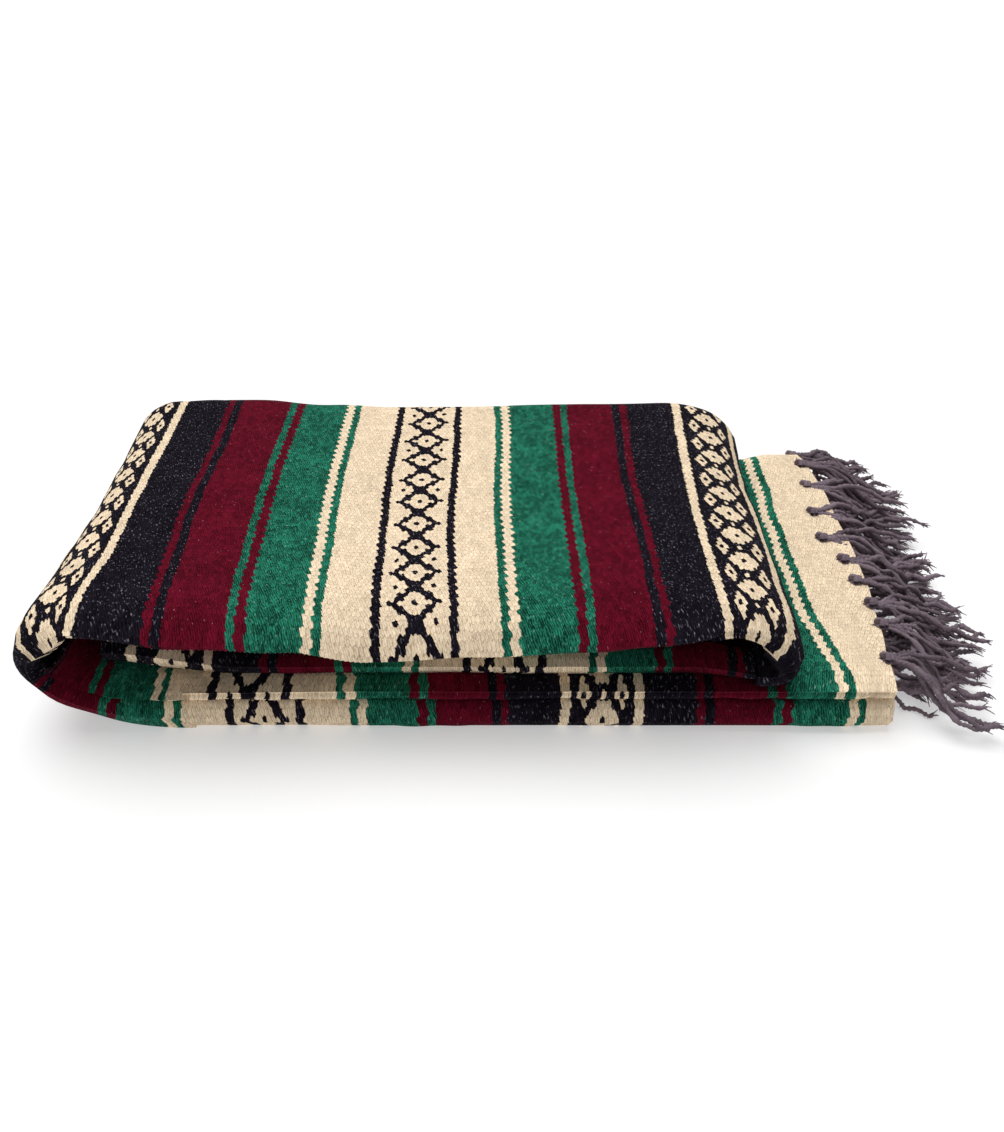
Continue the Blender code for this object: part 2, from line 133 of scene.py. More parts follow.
def trace_path():
    """The outer face as close points (x, z), and the index at which each part of it starts."""
    parts = []

    def line(x0, x1, z):
        x = np.linspace(x0, x1, max(2, int(abs(x1 - x0) / 0.001)), endpoint=False)
        parts.append(np.stack([x, np.full_like(x, z)], 1))

    def quarter(cx, cz, ax, az, start, end):
        angle = np.radians(np.linspace(start, end, 96, endpoint=False))
        parts.append(np.stack([cx + ax * np.cos(angle), cz + az * np.sin(angle)], 1))

    line(FRINGED_EDGE, LEFT_START, 0.0)
    quarter(LEFT_START, LEFT_NOSE_Z, LEFT_START - LEFT_NOSE, LEFT_NOSE_Z, 270, 180)
    quarter(TOP_LEFT, LEFT_NOSE_Z, TOP_LEFT - LEFT_NOSE, TOP_Z - LEFT_NOSE_Z, 180, 90)
    line(TOP_LEFT, TOP_RIGHT, TOP_Z)
    quarter(TOP_RIGHT, RIGHT_NOSE_Z, RIGHT_NOSE - TOP_RIGHT, TOP_Z - RIGHT_NOSE_Z, 90, 0)
    quarter(RIGHT_UNDER, RIGHT_NOSE_Z, RIGHT_NOSE - RIGHT_UNDER, RIGHT_NOSE_Z - MIDDLE_Z, 0, -90)
    line(RIGHT_UNDER, MIDDLE_LIFT, MIDDLE_Z)
    x = np.linspace(MIDDLE_LIFT, MIDDLE_END, 90)
    parts.append(np.stack([x, MIDDLE_Z + middle_rise(x)], 1))
    starts = np.cumsum([0] + [len(part) for part in parts])
    return np.concatenate(parts), starts


PATH, STARTS = trace_path()
LENGTHS = np.concatenate([[0.0], np.cumsum(np.hypot(*np.diff(PATH, axis=0).T))])
S_LEFT, S_LEFT_NOSE, S_TOP, S_RIGHT, S_RIGHT_NOSE, S_MIDDLE = LENGTHS[STARTS[1:7]]
S_END = LENGTHS[-1]
TANGENT = np.gradient(PATH, LENGTHS, axis=0)
TANGENT /= np.linalg.norm(TANGENT, axis=1, keepdims=True)


def on_path(s):
    """x, z and the direction in from the outer face, at s; straight on beyond either end."""
    x, z = (np.interp(s, LENGTHS, PATH[:, i]) for i in (0, 1))
    tx, tz = (np.interp(s, LENGTHS, TANGENT[:, i]) for i in (0, 1))
    beyond = np.minimum(s, 0.0) + np.maximum(s - S_END, 0.0)
    return x + tx * beyond, z + tz * beyond, tz, -tx


def top_share(s):
    """1 on the top stretch, falling to 0 halfway round each fold."""
    left = ease((s - S_LEFT_NOSE) / (S_TOP - S_LEFT_NOSE))
    return left * ease((S_RIGHT_NOSE - s) / (S_RIGHT_NOSE - S_RIGHT))


def place(s, y, n):
    """Points of the strip in the part's frame."""
    x, z, nx, nz = on_path(s)
    front, back = ACROSS["right"][FRONT], ACROSS["right"][BACK]
    skew = RIGHT_PULL + RIGHT_SKEW * np.maximum(y - front, 0.0) ** 1.5 / (back - front) ** 1.5
    skew = skew * ease((s - S_RIGHT + 0.06) / 0.12) * ease((S_MIDDLE + 0.12 - s) / 0.12)
    drawn = LEFT_DRAW * (1 - (1 - np.clip((y - LEFT_DRAW_FROM) / LEFT_DRAW_OVER, 0.0, 1.0)) ** 1.5)
    swell = sum(h * np.exp(-((x - cx) / rx) ** 2 - ((y - cy) / ry) ** 2)
                for cx, cy, rx, ry, h in TOP_SWELLS)
    rise = swell * top_share(s) * ease(1 - n / 0.03)
    x = x + nx * n
    x = x + np.maximum(TOP_LEFT - x, 0.0) * drawn + skew
    return np.stack([x, y, z + nz * n + rise], -1)


MARKS = [(-0.1, "bottom"), (S_LEFT - BEND_LEAD, "bottom"), (S_LEFT_NOSE, "left"), (S_TOP + 0.01, "top"),
         (S_RIGHT, "top"), (S_RIGHT_NOSE, "right"), (S_MIDDLE + 0.05, "middle"), (S_END + 0.1, "middle")]
MARK_AT = np.array([s for s, _ in MARKS])
MARK_ROWS = np.array([ACROSS[name] for _, name in MARKS])


def across_at(s):
    a = eased_row(s, MARK_AT, MARK_ROWS).copy()
    x = float(on_path(s)[0])
    x_in = float(np.clip(x, TOP_EDGE[0, 0], TOP_EDGE[-1, 0]))
    _, forward, hang, back = eased_row(x_in, TOP_EDGE[:, 0], TOP_EDGE)
    share = float(top_share(s))
    a[FRONT] -= forward * share
    a[NOSE] += hang * share
    a[BACK] += back * share
    if s > S_MIDDLE:
        a[[BACK_NOSE, BACK_UNDER]] -= middle_rise(x) / 2
    return a


def squeeze_at(s):
    start = S_LEFT - BEND_LEAD
    return 1 + (LEFT_SQUEEZE - 1) * float(ease((s - start) / (S_LEFT_NOSE - start)))


def quarter_points(run, depth, count=22):
    angle = np.linspace(0, math.pi / 2, count)
    return np.stack([run * np.sin(angle), depth * (1 - np.cos(angle))], 1)


def front_fold(front, run, nose, tuck, under, level=0.0):
    """(y, n) from the tucked end round the nose to the flat face."""
    deep = level + nose + under
    tucked = np.array([(front + tuck + TUCKED_RUN, deep)])
    below = (front + tuck, deep) - quarter_points(tuck, under)
    above = (front + run, level) + quarter_points(run, nose) * (-1, 1)
    return np.concatenate([tucked, below, above[-2::-1]])


def outer_section(s):
    a = across_at(s)
    flat, deep = a[BACK] - a[BACK_RUN], a[BACK_NOSE] + a[BACK_UNDER]
    outer = (flat, 0.0) + quarter_points(a[BACK_RUN], a[BACK_NOSE])
    inner = (flat, deep) + quarter_points(a[BACK_RUN], a[BACK_UNDER]) * (1, -1)
    return np.concatenate([front_fold(*a[[FRONT, RUN, NOSE, TUCK, UNDER]]), outer, inner[-2::-1]])


def lower_section(s):
    a = across_at(s)
    return np.concatenate([front_fold(*a[[FRONT, RUN, NOSE, TUCK, UNDER]]), [(CORE_BACK, 0.0)]])


def upper_section(s, with_back=True):
    """The inner front fold, the upper face and the back fold down to the floor."""
    a = across_at(s)
    puff = UPPER_PUFF * float(ease((on_path(s)[0] - PUFF_FROM) / 0.05))
    top, split = UPPER_N * squeeze_at(s), SPLIT_N * squeeze_at(s)
    half = (top - split - GAP) / 2
    set_back = SET_BACK * float(ease((S_LEFT - s) / SET_BACK_FADE))
    front = front_fold(a[FRONT] + set_back, 0.007, half, 0.007, half, split + GAP)
    front[:, 1] = split + GAP + top - front[:, 1]
    if not with_back:
        return np.concatenate([front, [(CORE_BACK, top)]])
    flat = a[BACK] - a[BACK_RUN]
    half = (top + puff) / 2
    quarter = quarter_points(a[BACK_RUN], half)
    over = (flat, top + puff) + quarter * (1, -1)
    under = (flat, 0.0) + quarter
    y = np.linspace(front[-1, 0], flat, 40)[1:-1]
    face = np.stack([y, top + puff * ease((y - front[-1, 0]) / (flat - front[-1, 0]))], 1)
    return np.concatenate([front, face, over, under[-2::-1], [(CORE_BACK + GAP, 0.0)]])


def inner_face_length(s0, s1):
    """How long the inner fold's face is along the strip, on its own radius and not the outer path's."""
    s = np.linspace(s0, s1, 80)
    n = np.array([UPPER_N * float(squeeze_at(i)) for i in s])
    points = np.array([np.ravel(place(np.array([a]), np.array([0.0]), np.array([b]))) for a, b in zip(s, n)])
    return float(np.linalg.norm(np.diff(points, axis=0), axis=1).sum())


# ---------------------------------------------------------------- cloth

def bead_height(p, w):
    """The weave's relief: floats over one rib and under the next, half a float off in every other rib."""
    return RELIEF * np.cos(2 * math.pi * p / BEAD) * np.sin(math.pi * w / RIB)


def weave_measure():
    """Length across against the weave's own measure, which runs slower where a front fold stretches it."""
    v = np.linspace(-0.08, 0.45, 5301)
    stretch = 1 + FOLD_STRETCH * ease((FOLD_REACH - np.abs(v - FOLD_AT)) / FOLD_FADE)
    w = np.concatenate([[0.0], np.cumsum(np.diff(v) / stretch[:-1])])
    return v, w - np.interp(FIFTH_RIB, v, w) + 4.5 * RIB


FIFTH_RIB = 0.0249         # its middle lies this far from a fold's nose
WEAVE_V, WEAVE_W = weave_measure()


def columns_between(low, high, coarse=()):
    """Places across the cloth: two to a rib, and eight times wider apart in the coarse stretches."""
    w_low, w_high = np.interp((low, high), WEAVE_V, WEAVE_W)
    fine = np.arange(math.ceil(w_low / RIB * 2), math.floor(w_high / RIB * 2) + 1)
    keep = []
    for i in fine:
        v = float(np.interp(i * RIB / 2, WEAVE_W, WEAVE_V))
        inside = any(a + RIB * 4 < v < b - RIB * 4 for a, b in coarse)
        if not inside or i % 8 == 0:
            keep.append(i * RIB / 2)
    while (len(keep) - 1) % 4:
        keep.pop(0)
    w = np.array(keep)
    return w, np.interp(w, WEAVE_W, WEAVE_V)


def sample_rows(section, s_rows, coarse):
    """y and n of each row's section at even steps of v, and those steps."""
    lines = []
    for s in s_rows:
        points = section(s)
        length = np.concatenate([[0.0], np.cumsum(np.hypot(*np.diff(points, axis=0).T))])
        lines.append((points, length - length[int(np.argmin(points[:, 0]))]))
    low = max(length[0] for _, length in lines)
    high = min(length[-1] for _, length in lines)
    w, v = columns_between(low, high, coarse)
    y = np.array([np.interp(v, length, points[:, 0]) for points, length in lines])
    n = np.array([np.interp(v, length, points[:, 1]) for points, length in lines])
    return w, v, y, n


def grid_normals(points):
    along = np.gradient(points, axis=0)
    across = np.gradient(points, axis=1)
    normal = np.cross(along, across)
    return normal / np.linalg.norm(normal, axis=2, keepdims=True)


def shell_mesh(name, outer, inner, uv):
    """A closed thin shell: a fine outer grid, an inner grid of every fourth place, and a rim."""
    rows, cols = outer.shape[:2]
    rows4, cols4 = inner.shape[:2]
    verts = np.concatenate([outer.reshape(-1, 3), inner.reshape(-1, 3)])
    base = rows * cols

    def quads(r, c, offset, stride):
        i, j = np.meshgrid(np.arange(r - 1), np.arange(c - 1), indexing="ij")
        a = offset + i * stride + j
        return np.stack([a, a + stride, a + stride + 1, a + 1], -1).reshape(-1, 4)

    faces = quads(rows, cols, 0, cols).tolist()
    faces += quads(rows4, cols4, base, cols4)[:, ::-1].tolist()
    for i in range(rows4 - 1):
        for edge, edge4, flip in ((0, 0, True), (cols - 1, cols4 - 1, False)):
            fine = [(4 * i + k) * cols + edge for k in range(5)]
            pair = [base + (i + 1) * cols4 + edge4, base + i * cols4 + edge4]
            face = fine + pair
            faces.append(face[::-1] if not flip else face)
    for j in range(cols4 - 1):
        for edge, edge4, flip in ((0, 0, False), (rows - 1, rows4 - 1, True)):
            fine = [edge * cols + 4 * j + k for k in range(5)]
            pair = [base + edge4 * cols4 + j + 1, base + edge4 * cols4 + j]
            face = fine + pair
            faces.append(face[::-1] if not flip else face)
    mesh = bpy.data.meshes.new(name)
    mesh.from_pydata(verts, [], faces)
    mesh.update()
    flat_uv = np.concatenate([uv.reshape(-1, 2), uv[::4, ::4].reshape(-1, 2)])
    index = np.empty(len(mesh.loops), dtype=np.int32)
    mesh.loops.foreach_get("vertex_index", index)
    layer = mesh.uv_layers.new(name="cloth")
    layer.data.foreach_set("uv", flat_uv[index].astype(np.float32).ravel())
    mesh.shade_smooth()
    mesh.set_sharp_from_angle(angle=math.radians(62))
    piece = bpy.data.objects.new(name, mesh)
    bpy.context.scene.collection.objects.link(piece)
    return piece


def cloth(name, node, section, s0, s1, layout, shape, inward=False, ribs=4, coarse=(),
          length=None):
    """One stretch of cloth from s0 to s1 along the path. shape(s, v) gives how far it is pushed out, and
    how far each place has slid along the path."""
    p_of, s_of = layout[:, 0] * HALF_REPEAT, layout[:, 1]
    first = round(float(np.interp(s0, s_of, p_of)) / BEAD * 2)
    last = round(float(np.interp(s1, s_of, p_of)) / BEAD * 2)
    last -= (last - first) % 4 if s1 >= S_END - 0.001 else 0
    first -= (first - last) % 4
    p_rows = np.arange(first - 1, last + 2) * BEAD / 2
    slope = (s_of[1] - s_of[0]) / (p_of[1] - p_of[0])
    s_rows = np.where(p_rows < p_of[0], s_of[0] + (p_rows - p_of[0]) * slope,
                      np.interp(p_rows, p_of, s_of))
    w_columns, v_columns, y, n = sample_rows(section, s_rows, coarse)
    p, w = np.meshgrid(p_rows, w_columns, indexing="ij")
    s, v = np.meshgrid(s_rows, v_columns, indexing="ij")
    push, slide = shape(s, v)
    slide = slide + edge_slide(s, y)
    points = place(s + slide, y, n)
    side = 1.0 if inward else -1.0
    points = points + grid_normals(points) * side * push[..., None]
    points[..., 2] = np.maximum(points[..., 2], RELIEF * 0.7)
    normal = grid_normals(points) * side
    outer = (points + normal * bead_height(p, w)[..., None])[1:-1]
    inner = (points - normal * WALL)[1:-1:4, ::4]
    piece = shell_mesh(name, outer, inner, np.stack([p, w + ribs * RIB], -1)[1:-1])
    if inward:
        piece.data.flip_normals()
    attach(piece, "root")
    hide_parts(node)
    return piece


# ---------------------------------------------------------------- folds and creases

def bump_at(s, v, s0, v0, along, across, height, lean=0.0):
    """One soft ridge, or a trough where height is negative, leaning by lean along its length."""
    ds, dv = s - s0 - lean * (v - v0), v - v0
    return height * np.exp(-(ds / along) ** 2 - (dv / across) ** 2)


def top_shape(s, v):
    """Top, left and right stretches: slow swells, a few creases, and stripes that wander."""
    x = on_path(s)[0]
    on_top = top_share(s)
    push = 0.0011 * waves(s, v, 0.15, 11) + 0.00045 * waves(s, v, 0.042, 12)
    for s0, v0, along, across, height, lean in TOP_CREASES:
        push = push + bump_at(s, v, s0, v0, along, across, height, lean)
    slide = 0.0010 * waves(s, v, 0.11, 13) + 0.0004 * waves(s, v, 0.03, 14)
    bow = np.interp(v, (0.0, 0.06, 0.13, 0.20, 0.26, 0.31),
                    (-0.0010, -0.0028, -0.0028, -0.0008, 0.0015, 0.0036))
    slide = slide + bow * on_top
    corner = ease(1 - np.abs(s - 0.757) / 0.040) * ease((0.085 - v) / 0.06)
    slide = slide - 0.0088 * corner
    push = push - 0.0050 * ease(1 - np.abs(s - S_RIGHT_NOSE) / 0.09) * ease((0.20 - v) / 0.15)
    return push, slide


# The top's main creases: path length, length across, half widths along and across, height, lean
TOP_CREASES = (
    (0.705, 0.020, 0.016, 0.040, -0.0030, 0.25), (0.690, 0.110, 0.010, 0.060, -0.0016, -0.20),
    (0.645, 0.060, 0.012, 0.070, 0.0020, 0.10), (0.640, 0.210, 0.014, 0.060, -0.0018, 0.15),
    (0.600, 0.030, 0.020, 0.030, 0.0022, 0.0), (0.860, 0.020, 0.050, 0.018, 0.0014, 0.0),
    (0.960, 0.012, 0.040, 0.020, -0.0016, 0.0), (1.060, 0.016, 0.045, 0.018, 0.0012, 0.0),
    (1.150, 0.030, 0.012, 0.050, -0.0020, 0.35), (1.205, 0.050, 0.010, 0.045, 0.0024, -0.30),
    (1.235, 0.140, 0.011, 0.070, -0.0020, 0.25), (1.200, 0.240, 0.013, 0.050, 0.0018, -0.20),
    (0.930, 0.300, 0.060, 0.014, 0.0014, 0.0), (1.080, 0.305, 0.050, 0.012, -0.0016, 0.0),
    (0.790, 0.302, 0.045, 0.012, -0.0014, 0.0),
)


def edge_slide(s, y):
    """How far the fringed edge has pulled in, unevenly across."""
    drawn = np.interp(y, EDGE_Y, EDGE_IN)
    return drawn * ease(1 - s / 0.045)


# The fringed edge: how far in it lies at each y
EDGE_Y = (-0.165, -0.135, -0.113, -0.076, -0.038, 0.005, 0.036, 0.085, 0.130, 0.168)
EDGE_IN = (0.0250, 0.0205, 0.0185, 0.0110, 0.0075, 0.0035, 0.0060, 0.0040, 0.0070, 0.0140)


def lower_shape(s, v):
    push = 0.0007 * waves(s, v * 1.5, 0.10, 21) + 0.0004 * waves(s, v, 0.036, 22)
    slide = 0.0012 * waves(s, v, 0.09, 23) + 0.0004 * waves(s, v, 0.028, 24)
    return push, slide


def upper_shape(s, v):
    """The bottom stretch's upper face, which pulls back between the stripes of the fringed end."""
    x = on_path(s)[0]
    push = 0.0006 * waves(s, v, 0.08, 31) + 0.0004 * waves(s, v, 0.03, 32)
    push = push + bump_at(s, v, 0.060, 0.100, 0.020, 0.050, 0.0022, 0.2)
    push = push + bump_at(s, v, 0.030, 0.230, 0.018, 0.040, -0.0016, -0.1)
    push = push * ease((x + 0.5) / 0.1)
    slide = 0.0012 * waves(s, v, 0.08, 33) + 0.0004 * waves(s, v, 0.03, 34)
    drawn = np.interp(v, (0.0, 0.025, 0.08, 0.16, 0.22, 0.30), (0.004, 0.002, 0.0085, 0.0085, 0.006, 0.0))
    slide = slide + drawn * ease((0.16 - s) / 0.06) * ease(s / 0.02)
    return push, slide


def middle_shape(s, v):
    push = 0.0006 * waves(s, v * 1.5, 0.085, 41) + 0.0004 * waves(s, v, 0.034, 42)
    slide = 0.0013 * waves(s, v, 0.08, 43) + 0.0004 * waves(s, v, 0.028, 44)
    return push, slide


# ---------------------------------------------------------------- hidden layers and fringe

CORE_LOBES = 4             # folded layers that show at the hidden solid's edges
CORE_START, CORE_STOP = 0.012, 1.205
CORE_CLEAR = 0.0095        # from the outer face of the cloth round it


def core_section(s):
    """The hidden layers' outline: flat faces, with a rounded fold for each pair of layers at its edges."""
    x = float(on_path(s)[0])
    a = across_at(s)
    share = float(ease((s - S_LEFT_NOSE - 0.01) / (S_TOP - S_LEFT_NOSE + 0.03)))
    top = CORE_CLEAR
    bottom_deep = UPPER_N * squeeze_at(s) - CORE_CLEAR
    top_deep = TOP_Z - MIDDLE_Z - float(middle_rise(x)) - CORE_CLEAR
    deep = bottom_deep + (top_deep - bottom_deep) * share
    deep += (0.034 - deep) * float(ease((s - S_RIGHT) / 0.03))
    front = a[FRONT] + a[TUCK] + TUCKED_RUN + 0.007
    lower = front + (-0.110 - front) * share
    t = np.linspace(0, 1, 16 * CORE_LOBES + 1)
    lobe = 0.0055 * np.sqrt(np.abs(np.sin(math.pi * CORE_LOBES * t)))
    n = top + (deep - top) * t
    y_front = front + (lower - front) * ease((t - 0.45) / 0.25) + 0.0055 - lobe
    y_back = np.full_like(n, CORE_BACK - 0.006) + lobe
    middle = np.linspace(0, 1, 12)[1:-1]
    over = np.stack([y_back[0] + (y_front[0] - y_back[0]) * middle, np.full_like(middle, top)], 1)
    under = np.stack([y_front[-1] + (y_back[-1] - y_front[-1]) * middle, np.full_like(middle, deep)], 1)
    return np.concatenate([np.stack([y_front, n], 1), under, np.stack([y_back, n], 1)[::-1], over])


def hidden_layers():
    s_rows = np.arange(CORE_START, CORE_STOP, 0.0055)
    rings, uv = [], []
    for s in s_rows:
        outline = core_section(s)
        wobble = 0.0007 * waves(np.full(len(outline), s), outline[:, 1] * 3, 0.06, 51)
        rings.append(place(np.full(len(outline), s), outline[:, 0] + wobble, outline[:, 1]))
        length = np.concatenate([[0.0], np.cumsum(np.hypot(*np.diff(outline, axis=0).T))])
        p = float(np.interp(s, LAYOUT[:, 1], LAYOUT[:, 0])) * HALF_REPEAT
        uv.append(np.stack([np.full(len(outline), p), length], 1))
    rings, uv = np.array(rings), np.array(uv)
    rows, width = rings.shape[:2]
    faces = [tuple(range(width - 1, -1, -1)), tuple(range((rows - 1) * width, rows * width))]
    for i in range(rows - 1):
        for j in range(width):
            k = (j + 1) % width
            faces.append((i * width + j, i * width + k, (i + 1) * width + k, (i + 1) * width + j))
    piece = new_piece("inner_cloth", rings.reshape(-1, 3), faces, uv.reshape(-1, 2))
    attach(piece, "root")
    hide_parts("inner_layers")
    return piece


def new_piece(name, verts, faces, uv):
    mesh = bpy.data.meshes.new(name)
    mesh.from_pydata(verts, [], faces)
    mesh.update()
    index = np.empty(len(mesh.loops), dtype=np.int32)
    mesh.loops.foreach_get("vertex_index", index)
    layer = mesh.uv_layers.new(name="cloth")
    layer.data.foreach_set("uv", uv[index].astype(np.float32).ravel())
    mesh.shade_smooth()
    mesh.set_sharp_from_angle(angle=math.radians(62))
    piece = bpy.data.objects.new(name, mesh)
    bpy.context.scene.collection.objects.link(piece)
    return piece


class Yarns:
    """Many lengths of yarn gathered into one mesh. Its map holds the length along and a yarn's number."""

    def __init__(self):
        self.verts, self.faces, self.uv, self.count = [], [], [], 0

    def add(self, points, radii, sides=8, lobes=0.0, twist=0.0, turn=0.0):
        """A tube through points; lobes makes it a twist of two plies, one turn in each twist metres."""
        points = np.asarray(points, float)
        radii = np.broadcast_to(radii, len(points))
        tangent = np.gradient(points, axis=0)
        tangent /= np.linalg.norm(tangent, axis=1, keepdims=True)
        across = np.cross(tangent, (0.13, 0.21, 1.0))
        across /= np.linalg.norm(across, axis=1, keepdims=True)
        up = np.cross(across, tangent)
        length = np.concatenate([[0.0], np.cumsum(np.linalg.norm(np.diff(points, axis=0), axis=1))])
        angle = np.arange(sides) * 2 * math.pi / sides
        spin = turn + (length * 2 * math.pi / twist if twist else 0 * length)
        size = radii[:, None] * (1 + lobes * np.cos(2 * (angle[None] - spin[:, None])))
        ring = (points[:, None] + size[..., None] * (np.cos(angle)[None, :, None] * across[:, None]
                                                     + np.sin(angle)[None, :, None] * up[:, None]))
        base = sum(len(v) for v in self.verts)
        self.verts.append(ring.reshape(-1, 3))
        self.uv.append(np.stack([np.repeat(length, sides), np.full(len(points) * sides, self.count)], 1))
        for i in range(len(points) - 1):
            for j in range(sides):
                k = (j + 1) % sides
                self.faces.append((base + i * sides + j, base + i * sides + k,
                                   base + (i + 1) * sides + k, base + (i + 1) * sides + j))
        self.faces.append(tuple(base + j for j in range(sides - 1, -1, -1)))
        self.faces.append(tuple(base + (len(points) - 1) * sides + j for j in range(sides)))
        self.count += 1

    def piece(self, name, node):
        piece = new_piece(name, np.concatenate(self.verts), self.faces, np.concatenate(self.uv))
        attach(piece, "root")
        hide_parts(node)
        return piece


def wander(rng, count, size, turns):
    """Smooth aimless bends along a yarn, growing from nothing at its start."""
    t = np.linspace(0, 1, count)
    total = np.zeros(count)
    for k in range(1, turns + 1):
        total += rng.normal() / k * np.sin(t * k * math.pi * 1.15 + rng.uniform(0, 2 * math.pi))
    return size * (total - total[0]) * ease(t * 2.5)


def hair(yarns, rng, start, heading, length, radius):
    """One stray fibre, drooping a little."""
    u = np.linspace(0, 1, 5)[:, None]
    line = start + heading * u * length + (0, 0, -0.18 * length) * u * u
    line[:, 2] = np.maximum(line[:, 2], 0.0006)
    yarns.add(line, np.linspace(radius, radius * 0.45, 5), 4)


def tassel(yarns, rng, knot, floor_at, limit, strands, lean):
    """A knot of warp yarns and what hangs from it: thick, wavy two-ply strands, frayed at their tips."""
    x, y, z = knot
    t = np.linspace(0, 1, 26)
    coil = t * 2 * math.pi * 2.3
    yarns.add(np.stack([x - 0.0030 + 0.0062 * t, y + 0.0032 * np.sin(coil),
                        z + 0.0014 + 0.0026 * np.cos(coil)], 1),
              0.0024 * (1 - 0.25 * t), 9, 0.2, 0.006)
    yarns.add(np.stack([x - 0.0055 + 0.0095 * t, y + 0.0008 * np.sin(coil), z + 0.0004 * np.cos(coil)], 1),
              0.0024 * np.sin(math.pi * (0.15 + 0.7 * t)), 9, 0.15, 0.009)
    for _ in range(5):
        hair(yarns, rng, np.array(knot) + rng.normal(size=3) * 0.0016,
             rng.normal(size=3) * (0.7, 0.9, 0.3) + (-0.2, 0, 0.35), 0.0055, 0.0004)
    for i in range(strands):
        side = i / (strands - 1) - 0.5
        turn = lean + rng.normal() * 0.16 + side * 0.22
        reach = (limit - x - 0.003) * rng.uniform(0.80, 1.02) / math.cos(turn)
        count = 44
        t = np.linspace(0, 1, count)
        end = floor_at + rng.uniform(0.0, 0.016)
        gather = ease((t - 0.08) / 0.34)
        line = np.stack([x + 0.0025 + t * reach * math.cos(turn),
                         y + side * (0.0040 + 0.0190 * gather) + t * reach * math.sin(turn) * 0.85,
                         z + rng.normal() * 0.0008 + 0.0034 * gather * rng.uniform(-1, 1)
                         + (end - z) * ease((t - rng.uniform(0.12, 0.26)) / rng.uniform(0.50, 0.80))], 1)
        line[:, 1] += wander(rng, count, 0.0046, 9)
        line[:, 2] += wander(rng, count, 0.0024, 9)
        line[:, 0] += wander(rng, count, 0.0020, 4)
        line[:, 2] = np.maximum(line[:, 2], 0.0016)
        thick = 0.00185 * rng.uniform(0.78, 1.20) * (1 + 0.10 * rng.normal(size=count))
        yarns.add(line, thick * (1 - 0.25 * ease((t - 0.94) / 0.06)), 9, 0.30,
                  rng.uniform(0.0065, 0.0085), rng.uniform(0, 6.3))
        heading = (line[-1] - line[-4]) / np.linalg.norm(line[-1] - line[-4])
        for _ in range(7):
            hair(yarns, rng, line[-1] + rng.normal(size=3) * 0.0006 - heading * 0.0015,
                 heading + rng.normal(size=3) * (0.30, 0.36, 0.26), rng.uniform(0.0030, 0.0075), 0.00062)
        for _ in range(16):
            at = rng.integers(6, count - 2)
            hair(yarns, rng, line[at], rng.normal(size=3) * (0.7, 0.6, 0.5),
                 rng.uniform(0.0022, 0.0048), 0.00030)


# Knots of the upper fringe, back to front: x, y, and how far right its longest strands reach
UPPER_KNOTS = (
    (0.2674, 0.1570, 0.352), (0.2683, 0.1326, 0.366), (0.2630, 0.0974, 0.362), (0.2576, 0.0562, 0.346),
    (0.2553, 0.0205, 0.350), (0.2649, -0.0077, 0.356), (0.2665, -0.0339, 0.344), (0.2702, -0.0613, 0.352),
    (0.2700, -0.0850, 0.350), (0.2616, -0.1221, 0.336))
LOWER_KNOTS = (
    (0.268, 0.150, 0.345), (0.272, 0.116, 0.360), (0.276, 0.082, 0.354), (0.275, 0.048, 0.346),
    (0.277, 0.014, 0.352), (0.275, -0.018, 0.352), (0.272, -0.048, 0.348), (0.268, -0.074, 0.344),
    (0.262, -0.098, 0.326), (0.257, -0.118, 0.300))


def fringes():
    rng = np.random.default_rng(864)
    upper, lower = Yarns(), Yarns()
    for x, y, limit in UPPER_KNOTS:
        z = UPPER_N + UPPER_PUFF * float(ease((y + 0.140) / 0.28)) * 0.92 + 0.0022
        z -= 0.006 * float(ease((y - 0.142) / 0.02))
        tassel(upper, rng, (x, y, z), 0.006, limit, 10, -0.08 + 0.09 * rng.normal())
    for x, y, limit in LOWER_KNOTS:
        tassel(lower, rng, (x, y, 0.0150), 0.0018, limit, 8, 0.02 + 0.08 * rng.normal())
    return upper.piece("upper_tassels", "fringe_upper"), lower.piece("lower_tassels", "fringe_lower")


# ---------------------------------------------------------------- camera

def camera_and_light():
    camera = bpy.data.cameras.new("camera")
    camera.lens, camera.sensor_width = 31.17, 36.0
    camera.shift_x = 0.0433
    view = bpy.data.objects.new("camera", camera)
    view.location = (-0.054, -0.6485, 0.524)
    view.rotation_euler = (math.radians(90 - 37.2), 0, 0)
    bpy.context.scene.collection.objects.link(view)
    bpy.context.scene.camera = view

    world = bpy.data.worlds.new("studio")
    world.use_nodes = True
    background = world.node_tree.nodes["Background"]
    background.inputs["Color"].default_value = (1.0, 1.0, 1.0, 1.0)
    background.inputs["Strength"].default_value = 0.36
    bpy.context.scene.world = world
    light = bpy.data.lights.new("sky", "SUN")
    light.energy, light.angle = 2.55, math.radians(50)
    lamp = bpy.data.objects.new("sky", light)
    lamp.rotation_euler = (math.radians(-16), math.radians(-12), 0)
    bpy.context.scene.collection.objects.link(lamp)

    mesh = bpy.data.meshes.new("floor")
    mesh.from_pydata([(-6, -6, 0), (6, -6, 0), (6, 6, 0), (-6, 6, 0)], [], [(0, 1, 2, 3)])
    floor = bpy.data.objects.new("floor", mesh)
    material = bpy.data.materials.new("pale_floor")
    material.use_nodes = True
    shader = material.node_tree.nodes["Principled BSDF"]
    shader.inputs["Base Color"].default_value = (0.58, 0.58, 0.58, 1)
    shader.inputs["Emission Color"].default_value = (1.0, 1.0, 1.0, 1)
    shader.inputs["Emission Strength"].default_value = 0.42
    shader.inputs["Roughness"].default_value = 1.0
    shader.inputs["Specular IOR Level"].default_value = 0.0
    mesh.materials.append(material)
    bpy.context.scene.collection.objects.link(floor)
    bpy.context.scene.view_settings.view_transform = "Standard"


# ---------------------------------------------------------------- materials

